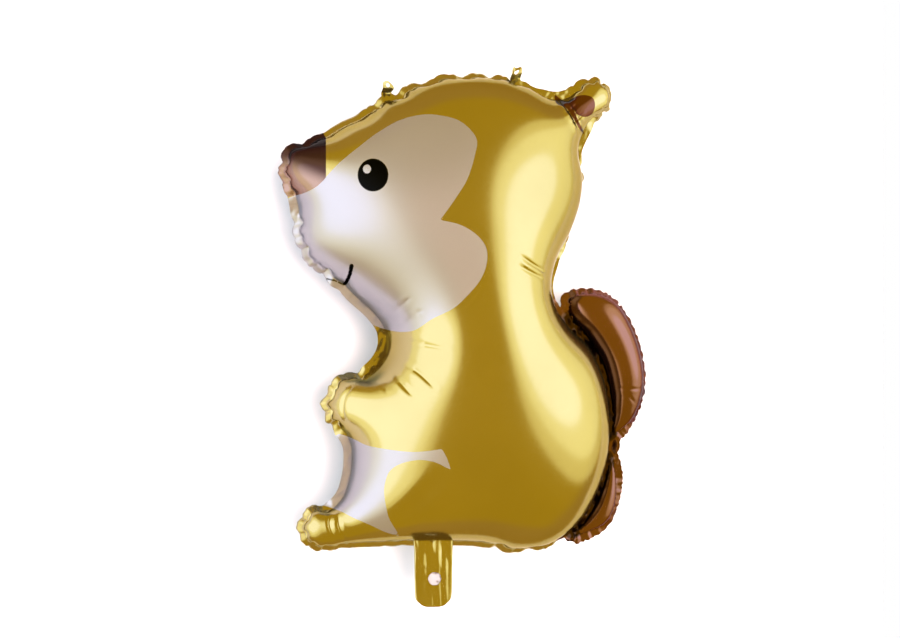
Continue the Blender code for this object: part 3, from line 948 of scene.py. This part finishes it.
def add_object(name, points, faces, material):
    mesh = bpy.data.meshes.new(name)
    mesh.from_pydata([tuple(p) for p in points], [], [tuple(int(i) for i in f) for f in faces])
    mesh.update()
    mesh.polygons.foreach_set("use_smooth", np.ones(len(mesh.polygons), bool))
    mesh.materials.append(material)
    return put_in_scene(name, mesh)


def store(piece, name, values):
    """Keeps a number or a vector for each point of a piece, for its material."""
    kind, field = ("FLOAT", "value") if values.ndim == 1 else ("FLOAT_VECTOR", "vector")
    layer = piece.data.attributes.new(name, kind, "POINT")
    layer.data.foreach_set(field, values.astype(np.float32).ravel())


def store_pixels(piece, pixels):
    store(piece, "pixel", np.column_stack([pixels, np.zeros(len(pixels))]))


# Materials

class Nodes:
    """Short names for building the nodes of a material or a world."""

    def __init__(self, owner):
        owner.use_nodes = True
        self.owner = owner
        self.tree = owner.node_tree

    def add(self, kind, **settings):
        node = self.tree.nodes.new(kind)
        for name, value in settings.items():
            setattr(node, name, value)
        return node

    def plug(self, socket, value):
        if isinstance(value, bpy.types.NodeSocket):
            self.tree.links.new(value, socket)
        else:
            socket.default_value = value

    def attribute(self, name, output="Fac"):
        node = self.add("ShaderNodeAttribute", attribute_name=name)
        return node.outputs[output]

    def apart(self, vector):
        """The parts of a vector, each a socket."""
        node = self.add("ShaderNodeSeparateXYZ")
        self.plug(node.inputs[0], vector)
        return node.outputs

    def math(self, operation, a, b=0.0):
        node = self.add("ShaderNodeMath", operation=operation)
        self.plug(node.inputs[0], a)
        self.plug(node.inputs[1], b)
        return node.outputs[0]

    def ramp(self, value, low, high, out_low=0.0, out_high=1.0):
        node = self.add("ShaderNodeMapRange", interpolation_type="SMOOTHSTEP")
        for socket, number in zip(node.inputs[:5], (value, low, high, out_low, out_high)):
            self.plug(socket, number)
        return node.outputs[0]

    def mix(self, share, a, b, blend_type="MIX"):
        node = self.add("ShaderNodeMix", data_type="RGBA", blend_type=blend_type)
        self.plug(node.inputs["Factor"], share)
        self.plug(node.inputs[6], a)
        self.plug(node.inputs[7], b)
        return node.outputs[2]

    def times(self, colour, factor):
        return self.mix(1.0, colour, (factor, factor, factor, 1.0), "MULTIPLY")

    def mix_value(self, share, a, b):
        node = self.add("ShaderNodeMix", data_type="FLOAT")
        self.plug(node.inputs["Factor"], share)
        self.plug(node.inputs[2], a)
        self.plug(node.inputs[3], b)
        return node.outputs[0]

    def noise(self, scale, detail):
        node = self.add("ShaderNodeTexNoise")
        place = self.add("ShaderNodeTexCoord")
        self.tree.links.new(place.outputs["Object"], node.inputs["Vector"])
        node.inputs["Scale"].default_value = scale
        node.inputs["Detail"].default_value = detail
        return node.outputs["Fac"]


def new_material(name):
    m = Nodes(bpy.data.materials.new(name))
    m.shader = m.tree.nodes["Principled BSDF"]
    return m


def foil_material():
    """Printed metallic foil: gold, with cream, brown and black areas, painted shade in the web and the
    ear-base creases, and a painted highlight on the nose.
    """
    m = new_material("printed_foil")
    drift = m.noise(9.0, 3.0)
    fine = m.noise(420.0, 2.0)
    colour = m.mix(m.ramp(drift, 0.3, 0.7), GOLD, GOLD_DEEP)
    tail = m.ramp(m.attribute("tail"), -EDGE, EDGE)
    copper = m.mix(m.ramp(drift, 0.35, 0.65), COPPER, COPPER_DEEP)
    colour = m.mix(tail, colour, copper)
    # painted shade: the web between the body and the tail turns from brown print to near black
    colour = m.mix(m.ramp(m.attribute("web"), 0.2, 0.8), colour, WEB_BROWN_AND_SHADE)
    cream = m.ramp(m.attribute("cream"), -EDGE, EDGE)
    colour = m.mix(cream, colour, m.mix(m.ramp(drift, 0.3, 0.7), CREAM, CREAM_DEEP))
    metal = m.mix_value(cream, FOIL_METAL, CREAM_METAL)
    rough = m.mix_value(cream, FOIL_ROUGH, CREAM_ROUGH)
    # the nose's brown print, with a painted rose highlight blended in on its lower part
    nose = m.ramp(m.attribute("nose"), -EDGE, EDGE)
    across, down, _ = m.apart(m.attribute("pixel", "Vector"))
    highlight_place = m.math("SUBTRACT", down, m.math("MULTIPLY", across, NOSE_HIGHLIGHT_TILT))
    colour = m.mix(nose, colour, m.mix(m.ramp(highlight_place, *NOSE_HIGHLIGHT_BLEND), NOSE_BROWN, NOSE_ROSE_HIGHLIGHT))
    metal = m.mix_value(nose, metal, NOSE_METAL)
    # the ear spot's brown print, which also paints shade into the ear-base creases
    spot = m.ramp(m.attribute("ear_spot"), -EDGE, EDGE)
    colour = m.mix(spot, colour, SPOT_BROWN_AND_CREASE_SHADE)
    dark = m.math("MAXIMUM", ellipse(m, EYE, EYE_SIZE), m.ramp(m.attribute("mouth"), -0.5, 0.5))
    colour = m.mix(dark, colour, INK)
    metal = m.mix_value(dark, metal, 1.0)
    rough = m.mix_value(dark, rough, INK_ROUGH)
    glint = ellipse(m, GLINT, GLINT_SIZE)
    colour = m.mix(glint, colour, GLINT_WHITE)
    metal = m.mix_value(glint, metal, CREAM_METAL)
    rough = m.math("ADD", rough, m.ramp(fine, 0.3, 0.7, -0.02, 0.03))
    m.plug(m.shader.inputs["Base Color"], colour)
    m.plug(m.shader.inputs["Metallic"], metal)
    m.plug(m.shader.inputs["Specular Tint"], m.times(colour, EDGE_TINT))
    m.plug(m.shader.inputs["Roughness"], rough)
    uncoated = m.math("MAXIMUM", dark, nose)
    m.plug(m.shader.inputs["Coat Weight"], m.mix_value(uncoated, PRINT_COAT, 0.0))
    m.shader.inputs["Specular IOR Level"].default_value = 0.15
    m.shader.inputs["Coat Roughness"].default_value = 0.12
    bump = m.add("ShaderNodeBump")
    bump.inputs["Strength"].default_value = 0.04
    bump.inputs["Distance"].default_value = 0.0004
    m.plug(bump.inputs["Height"], m.noise(70.0, 4.0))
    m.plug(m.shader.inputs["Normal"], bump.outputs["Normal"])
    return m.owner


def ellipse(m, centre, half):
    """1 inside a printed ellipse, from the points' own pixel places."""
    place = m.apart(m.attribute("pixel", "Vector"))
    total = None
    for axis in range(2):
        offset = m.math("DIVIDE", m.math("SUBTRACT", place[axis], centre[axis]), half[axis])
        square = m.math("MULTIPLY", offset, offset)
        total = square if total is None else m.math("ADD", total, square)
    return m.ramp(m.math("SQRT", total), 1.03, 0.97)


def floor_material():
    m = new_material("pale_floor")
    tone = m.mix(m.noise(1.5, 2.0), *FLOOR_TONES)
    m.plug(m.shader.inputs["Base Color"], tone)
    m.shader.inputs["Roughness"].default_value = 0.7
    m.shader.inputs["Specular IOR Level"].default_value = 0.2
    return m.owner


def film_material():
    m = new_material("valve_film")
    # a brown tone painted in as shade among the film's crumples
    tone = m.mix(m.ramp(m.noise(110.0, 3.0), 0.45, 0.58), *FILM_TONE_AND_SHADE)
    m.plug(m.shader.inputs["Base Color"], tone)
    m.shader.inputs["Roughness"].default_value = 0.25
    m.shader.inputs["Coat Weight"].default_value = 0.6
    m.shader.inputs["Coat Roughness"].default_value = 0.1
    return m.owner


# Neck and valve film

def grid_quads(rows, columns):
    """The four corners of each cell in a grid of points."""
    corners = (np.arange(rows - 1)[:, None] * columns + np.arange(columns - 1)[None]).ravel()
    return np.stack([corners, corners + 1, corners + columns + 1, corners + columns], axis=1)


def sheet_grid(columns, rows):
    """Places across a strip, from -1 to 1, and along it, from 0 to 1."""
    return np.meshgrid(np.linspace(-1.0, 1.0, columns), np.linspace(0.0, 1.0, rows))


def neck_piece(material):
    """The crumpled flat filling tube, open at its end and with a round hole in its front."""
    u, v = sheet_grid(61, 91)
    x = NECK_X + u * np.interp(v, NECK_PLACES, NECK_HALVES)
    y = NECK_LOW + v * NECK_TALL + (1.0 - v) ** 6 * np.abs(u) ** 4 * 0.005
    places = np.stack([x, y], axis=2).reshape(-1, 2)
    streaks = crumples(places * np.array([1.0, 0.10]), 0.0100, 21, 5)
    streaks = streaks + 0.30 * crumples(places, 0.014, 22, 5)
    edge = np.sqrt(np.clip(1.0 - np.abs(u.ravel()) ** 5, 0.0, 1.0))
    thick = NECK_HALF_THICKNESS * edge
    knots = crumples(places * np.array([1.0, 0.6]), 0.028, 25, 4) - 0.5
    knots = 2.0 * smooth_step(*NECK_KNOTS, v.ravel()) * knots
    rows, columns = u.shape
    quads = grid_quads(rows, columns)
    middles = (places[quads[:, 0]] + places[quads[:, 2]]) / 2.0
    beside_hole = np.linalg.norm(middles - HOLE_CENTRE, axis=1) >= HOLE_RADIUS
    points, faces = [], []
    for side in (1, -1):
        own = streaks if side == 1 else crumples(places * np.array([1.0, 0.22]), 0.0075, 31, 5) + 0.3
        z = SEAM_LEVEL + side * (thick + NECK_CRUMPLE * (own - 0.75 + knots) * edge + 0.0002)
        side_quads = quads[beside_hole] if side == 1 else quads[:, ::-1]
        faces += (side_quads + len(points) * rows * columns).tolist()
        points.append(np.column_stack([places, z]))
    back = rows * columns
    for a in range(0, back - columns, columns):
        b, c, d = a + columns, a + columns - 1, a + 2 * columns - 1
        faces += [(a, b, b + back, a + back), (c + back, d + back, d, c)]
    points = np.vstack(points)
    piece = add_object("filling_neck", points, faces, material)
    store_pixels(piece, photo_pixels(points))
    for name in ("cream", "nose", "ear_spot", "mouth", "tail", "web"):
        store(piece, name, np.full(len(points), FAR_OUTSIDE))
    return piece


def film_piece(material):
    """The crinkled valve film that shows in the neck's hole and mouth."""
    u, v = sheet_grid(33, 65)
    x = NECK_X + u * FILM_HALF_WIDTH
    y = NECK_LOW + FILM_UP + v * FILM_TALL
    places = np.stack([x, y], axis=2).reshape(-1, 2)
    z = SEAM_LEVEL + FILM_CRUMPLE * (crumples(places, 0.008, 41, 5) - 0.35)
    return add_object("valve_film", np.column_stack([places, z]), grid_quads(*u.shape), material)


def add_floor():
    (left, right), (low, high) = FLOOR_X, FLOOR_Y
    corners = [(left, low, 0.0), (right, low, 0.0), (right, high, 0.0), (left, high, 0.0)]
    floor = add_object("floor", np.array(corners), [(0, 1, 2, 3)], floor_material())
    floor.location.z = -0.0002
    return floor


def soft_panel(name, turned, layers):
    """A round lamp in layers, turned about its own middle by some degrees."""
    y_axis = Vector((0.0, 1.0, 0.0))
    for number, (angles, reaches, radiance, tone) in enumerate(layers):
        away = LIGHT_DISTANCE - LAYER_GAP * number
        middle = math.radians(sum(angles) / 2.0)
        aside = Vector((math.sin(middle), 0.0, math.cos(middle)))
        turn = Matrix((y_axis.cross(aside), y_axis, aside)).transposed().to_4x4()
        low, high = (away * math.tan(math.radians(r)) for r in reaches)
        light = bpy.data.lights.new(f"{name}_{number}", "AREA")
        light.shape = "ELLIPSE"
        light.size = 2.0 * away * math.tan(math.radians(abs(angles[1] - angles[0]) / 2.0))
        light.size_y = high - low
        light.energy = radiance * math.pi * light.size * light.size_y * math.pi / 4.0
        light.color = tone
        centre = Vector((0.0, (low + high) / 2.0, 0.1)) + aside * away
        own_turn = Matrix.Rotation(math.radians(turned), 4, "Z")
        put_in_scene(light.name, light).matrix_world = Matrix.Translation(centre) @ turn @ own_turn


def add_floor_light():
    """A wide lamp straight above, which keeps the floor white and doesn't show in the foil."""
    light = bpy.data.lights.new("floor_light", "AREA")
    light.shape = "RECTANGLE"
    light.size, light.size_y = FLOOR_LIGHT_SIZE
    light.spread = FLOOR_LIGHT_SPREAD
    light.energy = FLOOR_LIGHT_POWER
    light.color = FLOOR_LIGHT_TONE
    lamp = put_in_scene("floor_light", light)
    lamp.location = (0.0, 0.0, FLOOR_LIGHT_HEIGHT)
    lamp.visible_camera = False
    lamp.visible_glossy = False


def add_camera():
    data = bpy.data.cameras.new("camera")
    data.sensor_width = LENS_WIDTH
    data.lens = LENS_WIDTH * CAMERA_DISTANCE / (PHOTO_WIDTH * PIXEL)
    camera = put_in_scene("camera", data)
    turn = Matrix((Vector(RIGHT), Vector(UP), Vector(BACK))).transposed()
    camera.matrix_world = Matrix.Translation(Vector(AIM + BACK * CAMERA_DISTANCE)) @ turn.to_4x4()
    bpy.context.scene.camera = camera


def add_world():
    """Plain white surroundings, which the foil reflects as a dark gold room."""
    w = Nodes(bpy.data.worlds.new("studio"))
    direction = w.apart(w.add("ShaderNodeTexCoord").outputs["Generated"])
    room = w.mix(w.ramp(direction["Z"], *HORIZON_BAND), HORIZON_TONE, WORLD_TONE)
    mirrored = w.add("ShaderNodeLightPath").outputs["Is Glossy Ray"]
    w.plug(w.tree.nodes["Background"].inputs["Color"], w.mix(mirrored, PALE_TONE, room))
    bpy.context.scene.world = w.owner


# Making

def make_envelope():
    body = Chamber(loops[0], BODY_SEAM_STEP, BODY_RINGS, BODY_RING_ANGLE, BODY_STEP)
    chambers = [body]
    for loop in loops[1:3]:
        tail = Chamber(loop, TAIL_SEAM_STEP, TAIL_RINGS, TAIL_RING_ANGLE, TAIL_STEP, TAIL_PITCH, body)
        chambers.append(tail)
    points, faces = join_envelope(chambers)
    points[:, 2] = np.maximum(points[:, 2], 0.0)
    piece = add_object("foil_balloon", points, faces, foil_material())
    front = points.copy()
    front[:, 2] = SEAM_LEVEL + abs(points[:, 2] - SEAM_LEVEL)
    pixels = photo_pixels(front)
    store_pixels(piece, pixels)
    for name, values in print_distances(pixels).items():
        store(piece, name, values)
    store(piece, "tail", tail_distance(chambers, points) / PIXEL)
    # the mask of the web's painted shade, on the flange between the body and the tail only
    on_flange = abs(points[:, 2] - SEAM_LEVEL) < WEB_DEPTH
    store(piece, "web", web_share(chambers, points[:, :2]) * on_flange)
    piece.data.set_sharp_from_angle(angle=SHARP_ANGLE)
    return piece


def tail_distance(chambers, points):
    """Positive on the tail's foil, with its edge near the body's seam."""
    body, *lobes = [region(points[:, :2], chamber.seam) for chamber in chambers]
    return np.minimum(-body - 0.0004, WEB_WIDTH + np.maximum(*lobes))


loops = seam_loops()
envelope = make_envelope()
neck = neck_piece(envelope.data.materials[0])
film = film_piece(film_material())
for piece in (envelope, neck):
    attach(piece, "root")
    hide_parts("foil_envelope")
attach(film, "root")
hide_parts("valve_sleeve")
add_floor()
add_world()
soft_panel("left_panel", LEFT_TURN, LEFT_LAYERS)
soft_panel("right_panel", RIGHT_TURN, RIGHT_LAYERS)
add_floor_light()
add_camera()
bpy.context.scene.view_settings.view_transform = "Standard"
